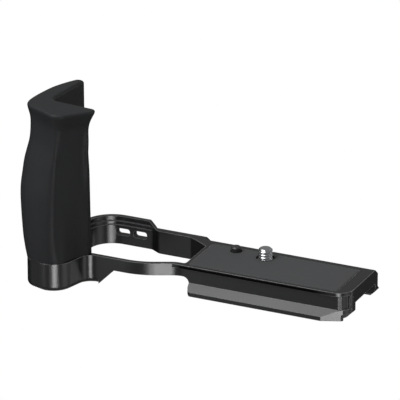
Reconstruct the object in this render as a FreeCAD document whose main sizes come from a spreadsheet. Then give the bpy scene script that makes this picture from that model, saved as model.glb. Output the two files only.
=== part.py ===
"""L-shaped camera mount plate with a moulded side grip.

A machined aluminium frame carries a camera: a long plate with a dovetail of 38 mm across its flanges,
a ring with an open window under the battery door, and a solid foot for the grip. The camera is held by
a captive quarter-inch screw and kept from turning by a locating pin. A rubber pad lies under the body,
and the silicone grip stands on the foot round a rigid core that two screws pull down. A short hex key
for the camera screw lies in the recess under the plate, held by two magnets.

Frame of the part, in millimetres: origin on the axis of the camera screw, in the plane of the plate's
top, +X along the plate away from the grip, +Y towards the back of the camera, +Z up through the screw.
"""

import FreeCAD, Part
import math
import os
import re

import Sketcher
from FreeCAD import Placement, Rotation, Vector

# Driving dimensions, in millimetres. Heights are measured from the plate's top.
SIZES = {
    # Plate: its outline seen from above, and the lip that overhangs its near side
    "plate_right": 48.2,
    "lip_near": -22.4,
    "rear_face": 10.8,
    "plate_deep": 13.1,
    "corner_round": 7.3,
    "lip_thick": 1.7,
    "lip_over": 1.0,
    "edge_break": 0.5,
    "far_bevel_wide": 3.0,
    "far_bevel_deep": 2.5,
    "far_bevel_run": 4.0,
    "far_bevel_ramp": 3.4,
    "end_chamfer": 3.0,
    # Dovetail under the plate
    "dovetail_wide": 38.0,
    "dovetail_middle": -5.5,
    "flange_band": 1.9,
    "flange_left": -26.5,
    "flange_tip_round": 2.1,
    "flange_end_round": 3.0,
    "flange_end_break": 1.2,
    "lead_left": 36.6,
    "lead_right": 46.2,
    "lead_near": -20.5,
    "lead_round": 1.2,
    "turn_left": 43.4,
    "turn_middle": 45.3,
    "turn_middle_near": -20.3,
    "turn_round": 2.0,
    "turn_right": 46.5,
    "turn_far": -18.25,
    # Window under the battery door, and the rails round it
    "window_right": -28.8,
    "window_left": -84.5,
    "window_near": -26.5,
    "window_waist": -19.9,
    "window_corner": 4.0,
    "window_right_round": 1.3,
    "slant_near": -47.3,
    "slant_far": -33.2,
    "slant_round": 28.0,
    "waist_round": 10.0,
    "diagonal_left": -39.1,
    "diagonal_near": 1.4,
    "diagonal_round": 1.5,
    "diagonal_end_round": 1.5,
    "rail_thick": 3.3,
    "rail_deep": 10.5,
    "jog_shift": 2.9,
    "jog_right": -56.6,
    "jog_left": -61.2,
    "jog_inset": 2.0,
    "jog_round": 2.5,
    "rail_corner": 14.2,
    "rim_high": 2.1,
    "rim_wide": 2.0,
    "ledge_deep": 1.6,
    "ledge_wide": 0.6,
    "arm_thick": 1.9,
    "arm_deep": 5.6,
    "arm_end_round": 12.0,
    # Strap slots through the rear rail
    "slot_long": 6.5,
    "slot_high": 3.3,
    "slot_round": 1.2,
    "slot_pitch": 8.3,
    "slot_first": -73.35,
    "slot_middle": -4.75,
    # Foot under the grip
    "foot_left": -95.0,
    "foot_left_near": -43.0,
    "foot_left_round": 6.0,
    "foot_bow": -84.0,
    "foot_near": -46.6,
    "foot_bow_round": 8.0,
    "foot_right": -75.9,
    "foot_right_near": -44.6,
    "foot_right_round": 10.0,
    "root_left": -71.6,
    "root_round": 5.5,
    "foot_flank": -94.6,
    "foot_flank_near": -26.0,
    "foot_flank_round": 20.0,
    "foot_back": -3.9,
    "foot_bottom_round": 2.5,
    "web_right": -66.5,
    # Recess under the plate
    "recess_near": -13.6,
    "recess_far": 8.1,
    "recess_left": 13.0,
    "recess_roof": 6.5,
    "recess_chamfer": 1.8,
    # Camera screw, held captive by a clip in its neck
    "screw_rise": 4.7,
    "thread_radius": 3.175,
    "thread_pitch": 1.27,
    "thread_groove": 0.55,
    "relief_radius": 2.7,
    "neck_radius": 2.3,
    "shank_radius": 3.0,
    "screw_head_radius": 6.5,
    "screw_head_high": 4.0,
    "head_roof": 6.0,
    "head_clearance": 0.8,
    "shank_clearance": 0.2,
    "socket_flats": 4.0,
    "socket_deep": 2.2,
    "coin_slot_wide": 1.6,
    "coin_slot_deep": 1.4,
    "clip_radius": 3.8,
    "clip_thick": 0.8,
    "clip_play": 0.05,
    "clip_shelf": 4.0,
    "clip_clearance": 0.25,
    "clip_gap": 2.4,
    "screw_float": 2.5,
    # Rubber pad in its shallow seat
    "pad_left": -26.8,
    "pad_right": 42.0,
    "pad_near": -20.3,
    "pad_far": 4.8,
    "pad_thick": 1.0,
    "pad_seat": 0.8,
    "pad_groove": 0.3,
    "pad_corner_round": 1.5,
    "pad_hole_radius": 4.0,
    # Locating pin and the tripod thread under the plate
    "pin_x": -14.6,
    "pin_y": 1.5,
    "pin_radius": 2.25,
    "pin_rise": 2.4,
    "pin_shank_radius": 1.5,
    "pin_press": 5.0,
    "pin_chamfer": 0.5,
    "pin_hole_rim": 0.7,
    "tripod_x": -13.5,
    "tripod_y": -9.0,
    "tripod_radius": 2.6,
    "tripod_deep": 9.0,
    "tripod_mouth": 3.3,
    # Grip: rigid core, its two screws and their inserts
    "core_high": 65.0,
    "core_foot_left": -91.6,
    "core_foot_right": -74.6,
    "core_foot_back": -30.2,
    "core_foot_left_near": -40.8,
    "core_foot_bow": -84.5,
    "core_foot_near": -43.4,
    "core_foot_turn": -77.6,
    "core_foot_right_near": -41.8,
    "core_top_left": -88.6,
    "core_top_left_far": -37.0,
    "core_top_turn": -87.6,
    "core_top_side": -39.8,
    "core_top_bow": -78.0,
    "core_top_near": -44.8,
    "core_top_right": -70.6,
    "core_top_right_far": -37.2,
    "core_screw_left_x": -87.6,
    "core_screw_left_y": -35.0,
    "core_screw_right_x": -79.8,
    "core_screw_right_y": -37.4,
    "core_screw_radius": 1.5,
    "core_screw_long": 11.0,
    "core_screw_clearance": 0.2,
    "core_head_radius": 2.75,
    "core_head_high": 3.0,
    "core_head_sunk": 4.6,
    "core_head_clearance": 0.35,
    "core_socket_flats": 2.5,
    "core_socket_deep": 1.5,
    "insert_radius": 2.3,
    "insert_long": 6.0,
    # Grip: the silicone round the core
    "grip_high": 70.6,
    "notch_turn": -5.7,
    "notch_x": -86.5,
    "notch_y": -32.0,
    "notch_round": 5.0,
    "notch_lean": 7.8,
    "notch_lean_high": 50.0,
    # Hex key in the recess, and its magnets
    "key_flats": 4.0,
    "key_long": 30.0,
    "key_short": 13.0,
    "key_bend": 4.0,
    "key_left": 17.5,
    "key_far": 3.5,
    "key_groove_deep": 2.4,
    "key_clearance": 0.15,
    "magnet_radius": 2.0,
    "magnet_thick": 1.6,
    "magnet_first": 25.0,
    "magnet_pitch": 14.0,
}

# Where lines meet that the sizes above don't name by themselves
NECK = "(lip_near + lip_over)"
NEAR_TIP = "(dovetail_middle - dovetail_wide / 2)"
FAR_TIP = "(dovetail_middle + dovetail_wide / 2)"
FLANK_LOW = "(plate_deep - flange_band)"
MIDDLE = "((window_near + rear_face) / 2)"
REAR_LEFT = "(rear_face + jog_shift)"
RAIL_LEFT = "(window_left - rail_thick)"
SLANT = "((window_waist - window_near) / (slant_far - slant_near))"
ARM_NEAR = "(window_near - arm_thick)"
ARM_BEND = "(slant_near + arm_thick * (sqrt(1 + %s ^ 2) - 1) / %s)" % (SLANT, SLANT)
CLIP_LOW = "(clip_shelf - screw_float)"
NECK_HIGH = "-%s + clip_thick + 2 * clip_play" % CLIP_LOW
FLANK_HIGH = "(-%s + %s - %s)" % (FLANK_LOW, NECK, NEAR_TIP)
LEAD = "((lead_near - %s) / (lead_right - lead_left))" % NEAR_TIP


def build():
    """The whole document: the sheet, every piece, and the STEP file of each."""
    doc = FreeCAD.newDocument("camera_mount_plate")
    sizes_sheet(doc)
    base_frame(doc)
    rubber_pad(doc)
    locating_pin(doc)
    camera_screw(doc)
    screw_clip(doc)
    core = grip_core(doc)
    silicone_grip(doc, core)
    for side in ("left", "right"):
        grip_screw(doc, side)
        core_insert(doc, side)
    hex_key(doc)
    for number in range(2):
        key_magnet(doc, number)
    doc.recompute()
    write_parts(doc)


# The sheet and the small tools that the pieces share


def sizes_sheet(doc):
    """One row for each driving dimension: its name, and its value under an alias of that name."""
    sheet = doc.addObject("Spreadsheet::Sheet", "Sizes")
    for row, (name, size) in enumerate(SIZES.items(), start=1):
        sheet.set("A%d" % row, name)
        sheet.set("B%d" % row, str(size))
        sheet.setAlias("B%d" % row, name)
    doc.recompute()


def formula(text):
    """An expression on the sheet's names, in the form that a property or a constraint takes."""
    known = lambda word: ("Sizes." if word.group() in SIZES else "") + word.group()
    return re.sub(r"[a-z_]+", known, text)


def new_body(doc, name):
    """An empty body whose label is the piece's name."""
    body = doc.addObject("PartDesign::Body", name)
    body.Label = name
    return body


def new_sketch(body, name, role, offset):
    """An empty sketch on one of the body's own planes, moved along that plane's normal."""
    sketch = body.newObject("Sketcher::SketchObject", name)
    plane = next(item for item in body.Origin.OriginFeatures if item.Role == role)
    sketch.AttachmentSupport = [(plane, "")]
    sketch.MapMode = "FlatFace"
    sketch.setExpression(".AttachmentOffset.Base.z", formula(offset))
    return sketch


def bind(sketch, kind, *place):
    """A constraint whose last value is a formula on the sheet."""
    number = sketch.addConstraint(Sketcher.Constraint(kind, *place[:-2], place[-2]))
    sketch.setExpression("Constraints[%d]" % number, formula(place[-1]))


def polygon(sketch, corners):
    """A closed outline of straight sides. A corner is its two places, and the name of its radius if any."""
    count = len(corners)
    turn = 2 * math.pi / count
    start = [Vector(10 * math.cos(turn * i), 10 * math.sin(turn * i), 0) for i in range(count)]
    sketch.addGeometry([Part.LineSegment(start[i], start[(i + 1) % count]) for i in range(count)], False)
    for i in range(count):
        sketch.addConstraint(Sketcher.Constraint("Coincident", i, 2, (i + 1) % count, 1))
    for i, corner in enumerate(corners):
        bind(sketch, "DistanceX", -1, 1, i, 1, start[i].x, corner[0])
        bind(sketch, "DistanceY", -1, 1, i, 1, start[i].y, corner[1])
    sketch.Document.recompute()
    points = [sketch.Geometry[i].StartPoint for i in range(count)]
    for i, corner in enumerate(corners):
        if len(corner) == 3:
            before = sketch.GeometryCount
            earlier = (points[i - 1] + points[i]) / 2
            later = (points[i] + points[(i + 1) % count]) / 2
            radius = float(sketch.evalExpression(formula(corner[2])))
            sketch.fillet((i - 1) % count, i, earlier, later, radius, True, True)
            added = range(before, sketch.GeometryCount)
            arc = next(n for n in added if isinstance(sketch.Geometry[n], Part.ArcOfCircle))
            bind(sketch, "Radius", arc, radius, corner[2])
    sketch.Document.recompute()


def circle(sketch, centre, radius):
    """A circle whose centre and radius are formulas on the sheet."""
    number = sketch.addGeometry(Part.Circle(Vector(1, 1, 0), Vector(0, 0, 1), 1), False)
    bind(sketch, "DistanceX", -1, 1, number, 3, 1, centre[0])
    bind(sketch, "DistanceY", -1, 1, number, 3, 1, centre[1])
    bind(sketch, "Radius", number, 1, radius)


def extrude(body, kind, name, role, start, stop, draw, *shape):
    """A pad or a pocket between two places along +X, +Y or +Z, on what draw puts in its sketch."""
    against = role == "XZ_Plane"
    cut = kind == "PartDesign::Pocket"
    before = body.Shape.Volume if body.Tip else 0
    sketch = new_sketch(body, name + "_outline", role, "-1 * (%s)" % start if against else start)
    draw(sketch, *shape)
    feature = body.newObject(kind, name)
    feature.Profile = sketch
    feature.setExpression("Length", formula("(%s) - (%s)" % (stop, start)))
    feature.Reversed = against != cut
    body.Document.recompute()
    if cut and not body.Shape.Volume < before - 1e-6:
        raise ValueError("%s cuts nothing" % name)
    return feature


def pad(body, name, start, stop, corners, role="XY_Plane"):
    """A prism of straight and rounded sides."""
    return extrude(body, "PartDesign::Pad", name, role, start, stop, polygon, corners)


def pocket(body, name, start, stop, corners, role="XY_Plane"):
    """Such a prism, cut away."""
    return extrude(body, "PartDesign::Pocket", name, role, start, stop, polygon, corners)


def rod(body, name, start, stop, centre, radius):
    """An upright cylinder."""
    return extrude(body, "PartDesign::Pad", name, "XY_Plane", start, stop, circle, centre, radius)


def bore(body, name, start, stop, centre, radius):
    """An upright round hole."""
    return extrude(body, "PartDesign::Pocket", name, "XY_Plane", start, stop, circle, centre, radius)


def box(left, near, right, far, radius=None):
    """The corners of a rectangle, rounded if a radius is named."""
    corners = [(left, near), (right, near), (right, far), (left, far)]
    return [corner + (radius,) for corner in corners] if radius else corners


def dress(body, kind, name, size, wanted):
    """A fillet or a chamfer on those edges of the body so far whose points all pass a test."""
    base = body.Tip
    names = []
    for number, edge in enumerate(base.Shape.Edges, start=1):
        middle = edge.valueAt((edge.FirstParameter + edge.LastParameter) / 2)
        if all(wanted(point) for point in [middle] + [vertex.Point for vertex in edge.Vertexes]):
            names.append("Edge%d" % number)
    if not names:
        raise ValueError("no edge for %s" % name)
    feature = body.newObject("PartDesign::" + kind, name)
    feature.Base = (base, names)
    feature.setExpression("Radius" if kind == "Fillet" else "Size", formula(size))
    body.Document.recompute()
    return feature


def size(doc, name):
    """A driving dimension, read from the sheet."""
    return float(doc.getObject("Sizes").get(name))


# The machined frame


def base_frame(doc):
    """The frame, from one block of aluminium."""
    body = new_body(doc, "base_frame")
    plate(doc, body)
    ring(body)
    foot(doc, body)
    window(body)
    rim(body)
    underside(body)
    seats(body)
    return body


def plate(doc, body):
    """The plate, its dovetail flanges and the neck between them and the lip."""
    pad(body, "plate", "-plate_deep", "0", [
        ("window_right - 1", "lip_near"), ("plate_right", "lip_near", "corner_round"),
        ("plate_right", "rear_face"), ("window_right - 1", "rear_face")])
    low = -size(doc, "plate_deep")
    right = size(doc, "plate_right") - size(doc, "corner_round") - 0.01
    dress(body, "Chamfer", "end_chamfer", "end_chamfer",
          lambda point: abs(point.z - low) < 0.001 and point.x > right)
    pad(body, "flange", "-plate_deep", "-lip_thick", [
        ("flange_left", NEAR_TIP, "flange_tip_round"), ("lead_left", NEAR_TIP),
        ("lead_right", "lead_near", "lead_round"), ("plate_right - corner_round", "lip_near + corner_round"),
        ("plate_right", "rear_face - 1"), ("plate_right", FAR_TIP), ("flange_left", FAR_TIP)])
    pocket(body, "lead_in", "-plate_deep - 1", FLANK_HIGH, [
        ("lead_left", NEAR_TIP + " - 1"), ("plate_right + 1", NEAR_TIP + " - 1"),
        ("plate_right + 1", "%s + %s * (plate_right + 1 - lead_left)" % (NEAR_TIP, LEAD)),
        ("lead_left", NEAR_TIP)])
    pocket(body, "near_flank", "window_right - 3", "plate_right + 1", [
        (NECK, "-lip_thick"), (NECK, FLANK_HIGH),
        (NEAR_TIP + " - 5", "-%s - 5" % FLANK_LOW), (NEAR_TIP + " - 5", "-lip_thick")], "YZ_Plane")
    pocket(body, "neck_turn", FLANK_HIGH, "-lip_thick", [
        ("turn_left", NECK), ("turn_middle", "turn_middle_near", "turn_round"), ("turn_right", "turn_far"),
        ("plate_right + 1", "turn_far"), ("plate_right + 1", "lip_near - 1"),
        ("turn_left", "lip_near - 1")])
    pocket(body, "far_flank", "flange_left - 1", "plate_right + 1", [
        ("rear_face", "-lip_thick + 1"), ("rear_face", "-%s + %s - rear_face" % (FLANK_LOW, FAR_TIP)),
        (FAR_TIP + " + 5", "-%s - 5" % FLANK_LOW), (FAR_TIP + " + 5", "-lip_thick + 1")], "YZ_Plane")
    pocket(body, "flange_end", NEAR_TIP + " - 1", FAR_TIP + " + 1", [
        ("window_right - 3", "-arm_deep"), ("flange_left", "-arm_deep", "flange_end_round"),
        ("flange_left", "-plate_deep + flange_end_break"),
        ("flange_left + flange_end_break + 1", "-plate_deep - 1"),
        ("window_right - 3", "-plate_deep - 1")], "XZ_Plane")
    pocket(body, "far_chamfer", "lip_near + corner_round", FAR_TIP + " + 1", [
        ("plate_right - end_chamfer - 1", "-plate_deep - 1"), ("plate_right + 1", "-plate_deep - 1"),
        ("plate_right + 1", "-plate_deep + end_chamfer + 1")], "XZ_Plane")


def ring(body):
    """The rails behind and left of the window, and the thin arm in front of it."""
    pad(body, "rails", "-rail_deep", "0", [
        ("flange_left + 1", "rear_face"), ("jog_right", "rear_face", "jog_round"),
        ("jog_left", REAR_LEFT, "jog_round"), (RAIL_LEFT, REAR_LEFT, "rail_corner"),
        (RAIL_LEFT, MIDDLE), ("flange_left + 1", MIDDLE)])
    pad(body, "arm", "-arm_deep", "0", [
        ("root_left", ARM_NEAR), (ARM_BEND, ARM_NEAR, "slant_round + arm_thick"),
        ("%s + (%s - %s) / %s" % (ARM_BEND, NECK, ARM_NEAR, SLANT), NECK, "arm_end_round"),
        ("window_right + 5", NECK), ("window_right + 5", MIDDLE), ("root_left", MIDDLE)])
    lip_left = "%s + (lip_near - %s) / %s" % (ARM_BEND, ARM_NEAR, SLANT)
    pad(body, "lip_end", "-lip_thick", "0", [
        (lip_left, "lip_near"), ("window_right + 1", "lip_near"),
        ("window_right + 1", MIDDLE), (lip_left, MIDDLE)])


def foot(doc, body):
    """The foot that the grip stands on, and the web that stiffens the arm's root."""
    pad(body, "foot", "-plate_deep", "0", [
        ("foot_left", "foot_left_near", "foot_left_round"), ("foot_bow", "foot_near", "foot_bow_round"),
        ("foot_right", "foot_right_near", "foot_right_round"), ("root_left", ARM_NEAR, "root_round"),
        ("web_right", ARM_NEAR), ("web_right", MIDDLE), ("window_left + 1", MIDDLE),
        ("window_left + 1", "foot_back"), (RAIL_LEFT, "foot_back"),
        ("foot_flank", "foot_flank_near", "foot_flank_round")])
    low = -size(doc, "plate_deep")
    left = size(doc, "root_left")
    back = size(doc, "window_near")
    dress(body, "Fillet", "foot_edge", "foot_bottom_round",
          lambda point: abs(point.z - low) < 0.001 and point.x < left and point.y < back)
    pad(body, "web", ARM_NEAR, "window_near", [
        ("web_right", "-plate_deep"), ("web_right + plate_deep - arm_deep", "-arm_deep"),
        ("web_right", "-arm_deep")], "XZ_Plane")


def window(body):
    """The opening under the battery door, and the strap slots through the rear rail."""
    pocket(body, "window", "-plate_deep - 1", "1", [
        ("window_left", "window_near", "window_corner"), ("slant_near", "window_near", "slant_round"),
        ("slant_far", "window_waist", "waist_round"),
        ("window_right", "window_waist", "window_right_round"),
        ("window_right", "diagonal_near", "diagonal_round"),
        ("diagonal_left", "rear_face - rail_thick", "diagonal_end_round"),
        ("jog_right + jog_inset", "rear_face - rail_thick", "jog_round"),
        ("jog_left + jog_inset", REAR_LEFT + " - rail_thick", "jog_round"),
        ("window_left", REAR_LEFT + " - rail_thick", "rail_corner - rail_thick")])
    for number in range(2):
        middle = "(slot_first + %d * slot_pitch)" % number
        pocket(body, "strap_slot_%d" % (number + 1), REAR_LEFT + " - rail_thick - 1", REAR_LEFT + " + 1",
               box(middle + " - slot_long / 2", "slot_middle - slot_high / 2",
                   middle + " + slot_long / 2", "slot_middle + slot_high / 2", "slot_round"), "XZ_Plane")


def rim(body):
    """The raised rim round the camera's corner, with a slanted end, and the ledge inside it."""
    pad(body, "rim", "0", "rim_high", [
        ("jog_right", "rear_face", "jog_round"), ("jog_left", REAR_LEFT, "jog_round"),
        (RAIL_LEFT, REAR_LEFT, "rail_corner"), (RAIL_LEFT, "foot_back"),
        (RAIL_LEFT + " + rim_wide", "foot_back"),
        (RAIL_LEFT + " + rim_wide", REAR_LEFT + " - rim_wide", "rail_corner - rim_wide"),
        ("jog_left", REAR_LEFT + " - rim_wide", "jog_round"),
        ("jog_right", "rear_face - rim_wide")])
    pocket(body, "rim_end", "rear_face - rim_wide - 1", REAR_LEFT + " + 1", [
        ("jog_left", "rim_high"), ("jog_right", "0"), ("jog_right + 1", "0"),
        ("jog_right + 1", "rim_high + 1"), ("jog_left", "rim_high + 1")], "XZ_Plane")
    pocket(body, "ledge", "-ledge_deep", "0", [
        ("jog_left + jog_inset", "foot_back"),
        ("jog_left + jog_inset", REAR_LEFT + " - rail_thick + ledge_wide"),
        ("window_left - ledge_wide", REAR_LEFT + " - rail_thick + ledge_wide",
         "rail_corner - rail_thick + ledge_wide"),
        ("window_left - ledge_wide", "foot_back")])
    pocket(body, "far_bevel", "window_right - far_bevel_run", "plate_right + 1", [
        ("rear_face - far_bevel_wide", "0"), ("rear_face", "-far_bevel_deep"),
        ("rear_face + 1", "-far_bevel_deep"), ("rear_face + 1", "1"),
        ("rear_face - far_bevel_wide", "1")], "YZ_Plane")
    bevel_left = "window_right - far_bevel_run"
    pad(body, "bevel_end", "rear_face - far_bevel_wide", "rear_face", [
        (bevel_left, "-far_bevel_deep"), (bevel_left + " + far_bevel_ramp", "-far_bevel_deep"),
        (bevel_left, "0")], "XZ_Plane")


def underside(body):
    """The recess that runs out through the end face, the tripod thread, and the key's own groove."""
    pocket(body, "recess", "recess_left", "plate_right + 1", [
        ("recess_near", "-recess_roof"), ("recess_near", "-plate_deep + recess_chamfer"),
        ("recess_near - recess_chamfer - 1", "-plate_deep - 1"),
        ("recess_far + recess_chamfer + 1", "-plate_deep - 1"),
        ("recess_far", "-plate_deep + recess_chamfer"), ("recess_far", "-recess_roof")], "YZ_Plane")
    tripod = ("tripod_x", "tripod_y")
    bore(body, "tripod_hole", "-plate_deep - 1", "-plate_deep + tripod_deep", tripod, "tripod_radius")
    bore(body, "tripod_mouth", "-plate_deep - 1", "-plate_deep + edge_break", tripod, "tripod_mouth")
    pocket(body, "key_groove", "-recess_roof - 1", "-recess_roof + key_groove_deep",
           key_corners("key_clearance"))
    for number in range(2):
        bore(body, "magnet_hole_%d" % (number + 1), "-recess_roof",
             "-recess_roof + key_groove_deep + magnet_thick", magnet_centre(number), "magnet_radius")


def seats(body):
    """The pad's shallow seat, and the holes for the camera screw, the pin and the grip's screws."""
    pocket(body, "pad_seat", "-pad_seat", "1", pad_corners("pad_groove"))
    axis = ("0", "0")
    bore(body, "clip_hole", "-clip_shelf", "1", axis, "clip_radius + clip_clearance")
    bore(body, "screw_hole", "-head_roof - 1", "1", axis, "shank_radius + shank_clearance")
    bore(body, "head_hole", "-plate_deep - 1", "-head_roof", axis, "screw_head_radius + head_clearance")
    bore(body, "pin_hole", "-pin_press", "1", ("pin_x", "pin_y"), "pin_shank_radius")
    for side in ("left", "right"):
        centre = core_screw_centre(side)
        bore(body, "core_screw_hole_" + side, "-plate_deep - 1", "1", centre,
             "core_screw_radius + core_screw_clearance")
        bore(body, "core_head_hole_" + side, "-plate_deep - 1", "-plate_deep + core_head_sunk", centre,
             "core_head_radius + core_head_clearance")


# What lies on the plate


def pad_corners(gap):
    """The pad's outline, wider by a gap all round."""
    left, right = "pad_left - " + gap, "pad_right + " + gap
    near, far = "pad_near - " + gap, "pad_far + " + gap
    return [(left, near, "pad_corner_round"), (right, near, "pad_corner_round"),
            (right, far, "pad_corner_round"), (left, far, "pad_corner_round")]


def rubber_pad(doc):
    """The pad under the camera, open round the screw and the pin."""
    body = new_body(doc, "rubber_pad")
    pad(body, "sheet", "-pad_seat", "-pad_seat + pad_thick", pad_corners("0"))
    bore(body, "screw_opening", "-pad_seat - 1", "pad_thick", ("0", "0"), "pad_hole_radius")
    bore(body, "pin_opening", "-pad_seat - 1", "pad_thick", ("pin_x", "pin_y"), "pin_radius + pin_hole_rim")


def locating_pin(doc):
    """The pressed-in pin that keeps the camera from turning."""
    body = new_body(doc, "locating_pin")
    rod(body, "shank", "-pin_press", "-pad_seat", ("pin_x", "pin_y"), "pin_shank_radius")
    rod(body, "pin", "-pad_seat", "pin_rise", ("pin_x", "pin_y"), "pin_radius")
    top = size(doc, "pin_rise")
    dress(body, "Chamfer", "pin_tip", "pin_chamfer", lambda point: abs(point.z - top) < 0.001)


def camera_screw(doc):
    """The quarter-inch screw: thread, neck for the clip, and a slotted head with a hex socket."""
    body = new_body(doc, "camera_screw")
    axis = ("0", "0")
    rod(body, "head", "-head_roof - screw_head_high", "-head_roof", axis, "screw_head_radius")
    rod(body, "shank", "-head_roof", "-" + CLIP_LOW, axis, "shank_radius")
    rod(body, "neck", "-" + CLIP_LOW, NECK_HIGH, axis, "neck_radius")
    rod(body, "relief", NECK_HIGH, "0", axis, "relief_radius")
    rod(body, "thread", "0", "screw_rise", axis, "thread_radius")
    top = size(doc, "screw_rise")
    low = -size(doc, "head_roof") - size(doc, "screw_head_high")
    dress(body, "Chamfer", "edges", "edge_break",
          lambda point: abs(point.z - top) < 0.001 or abs(point.z - low) < 0.001)
    groove = new_sketch(body, "thread_outline", "XZ_Plane", "0")
    turns = round(size(doc, "screw_rise") / size(doc, "thread_pitch") - 0.7)
    for turn in range(turns):
        middle = "screw_rise - (%d + 0.75) * thread_pitch" % turn
        first = groove.GeometryCount
        tooth = [("thread_radius - thread_groove", middle),
                 ("thread_radius + 0.1", middle + " - thread_pitch * 0.4"),
                 ("thread_radius + 0.1", middle + " + thread_pitch * 0.4")]
        triangle(groove, first, tooth)
    body.Document.recompute()
    cut = body.newObject("PartDesign::Groove", "thread_grooves")
    cut.Profile = groove
    cut.ReferenceAxis = (groove, ["V_Axis"])
    cut.Angle = 360
    body.Document.recompute()
    bottom = "-head_roof - screw_head_high"
    pocket(body, "coin_slot", bottom + " - 1", bottom + " + coin_slot_deep",
           box("-screw_head_radius - 1", "-coin_slot_wide / 2",
               "screw_head_radius + 1", "coin_slot_wide / 2"))
    pocket(body, "socket", bottom + " - 1", bottom + " + socket_deep", hexagon("0", "0", "socket_flats"))


def triangle(sketch, first, corners):
    """A closed three-sided outline beside others in one sketch."""
    places = [Vector(4, first, 0), Vector(5, first, 0), Vector(5, first + 1, 0)]
    sketch.addGeometry([Part.LineSegment(places[i], places[(i + 1) % 3]) for i in range(3)], False)
    for i in range(3):
        sketch.addConstraint(Sketcher.Constraint("Coincident", first + i, 2, first + (i + 1) % 3, 1))
    for i, corner in enumerate(corners):
        bind(sketch, "DistanceX", -1, 1, first + i, 1, places[i].x, corner[0])
        bind(sketch, "DistanceY", -1, 1, first + i, 1, places[i].y, corner[1])


def hexagon(x, y, flats):
    """The corners of a hexagon, two of its flats along X."""
    half = "(%s) / 2" % flats
    reach = "(%s) / sqrt(3)" % flats
    return [("%s + %s" % (x, reach), y), ("%s + %s / 2" % (x, reach), "%s + %s" % (y, half)),
            ("%s - %s / 2" % (x, reach), "%s + %s" % (y, half)), ("%s - %s" % (x, reach), y),
            ("%s - %s / 2" % (x, reach), "%s - %s" % (y, half)),
            ("%s + %s / 2" % (x, reach), "%s - %s" % (y, half))]


def screw_clip(doc):
    """The open clip in the screw's neck, which lands on its shelf when the screw hangs loose."""
    body = new_body(doc, "screw_clip")
    low, high = "-%s + clip_play" % CLIP_LOW, "-%s + clip_play + clip_thick" % CLIP_LOW
    axis = ("0", "0")
    rod(body, "washer", low, high, axis, "clip_radius")
    bore(body, "eye", low + " - 1", high + " + 1", axis, "neck_radius + clip_play")
    pocket(body, "gap", low + " - 1", high + " + 1",
           box("-clip_gap / 2", "-clip_radius - 1", "clip_gap / 2", "0"))


# The grip


def core_screw_centre(side):
    """Where one of the grip's two screws stands."""
    return ("core_screw_%s_x" % side, "core_screw_%s_y" % side)


def grip_core(doc):
    """The rigid core, from its foot on the frame to its smaller top inside the silicone."""
    body = new_body(doc, "grip_core")
    foot_sketch = new_sketch(body, "core_foot", "XY_Plane", "0")
    polygon(foot_sketch, [
        ("core_foot_left", "core_foot_back"), ("core_foot_left", "core_foot_left_near"),
        ("core_foot_bow", "core_foot_near"), ("core_foot_turn", "core_foot_right_near"),
        ("core_foot_right", "core_foot_back")])
    top_sketch = new_sketch(body, "core_top", "XY_Plane", "core_high")
    polygon(top_sketch, [
        ("core_top_left", "core_top_left_far"), ("core_top_turn", "core_top_side"),
        ("core_top_bow", "core_top_near"), ("core_top_right", "core_top_side"),
        ("core_top_right", "core_top_right_far")])
    loft = body.newObject("PartDesign::AdditiveLoft", "core")
    loft.Profile = foot_sketch
    loft.Sections = [top_sketch]
    loft.Ruled = True
    doc.recompute()
    for side in ("left", "right"):
        centre = core_screw_centre(side)
        bore(body, "insert_hole_" + side, "-1", "insert_long", centre, "insert_radius")
        bore(body, "screw_room_" + side, "-1", "core_screw_long", centre, "core_screw_radius")
    return loft


def grip_screw(doc, side):
    """A cap screw that pulls the core down on the foot."""
    body = new_body(doc, "grip_screw_" + side)
    x, y = core_screw_centre(side)
    seat = "-plate_deep + core_head_sunk"
    rod(body, "head", seat + " - core_head_high", seat, (x, y), "core_head_radius")
    rod(body, "shank", seat, seat + " + core_screw_long", (x, y), "core_screw_radius")
    pocket(body, "socket", seat + " - core_head_high - 1", seat + " - core_head_high + core_socket_deep",
           hexagon(x, y, "core_socket_flats"))


def core_insert(doc, side):
    """The threaded brass insert in the core."""
    body = new_body(doc, "core_insert_" + side)
    centre = core_screw_centre(side)
    rod(body, "barrel", "0", "insert_long", centre, "insert_radius")
    bore(body, "thread", "-1", "insert_long + 1", centre, "core_screw_radius")


def silicone_grip(doc, solid_core):
    """The moulded silicone: lofted outer sections, less the notch for the camera and less the core."""
    high = size(doc, "grip_high")
    count = len(GRIP_FOOT)
    middle = [[(GRIP_FOOT[n][i] + GRIP_TOP[n][i]) / 2 for i in (0, 1)] for n in range(count)]
    run = [0.0]
    for number in range(count):
        run.append(run[-1] + math.dist(middle[number], middle[(number + 1) % count]))
    wires = []
    for share in GRIP_STATIONS:
        points = [section_point(corner, share, high) for corner in range(count)]
        curve = Part.BSplineCurve()
        curve.interpolate(Points=points, PeriodicFlag=True, Parameters=[part / run[-1] for part in run])
        wires.append(Part.Wire([curve.toShape()]))
    outer = Part.makeLoft(wires, True, False)
    shape = outer.cut(notch(doc)).cut(solid_core.Shape)
    grip = doc.addObject("Part::Feature", "silicone_grip")
    grip.Label = "silicone_grip"
    grip.Shape = shape
    grip.Placement = Placement(Vector(0, 0, 0), Rotation())
    return grip


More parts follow.
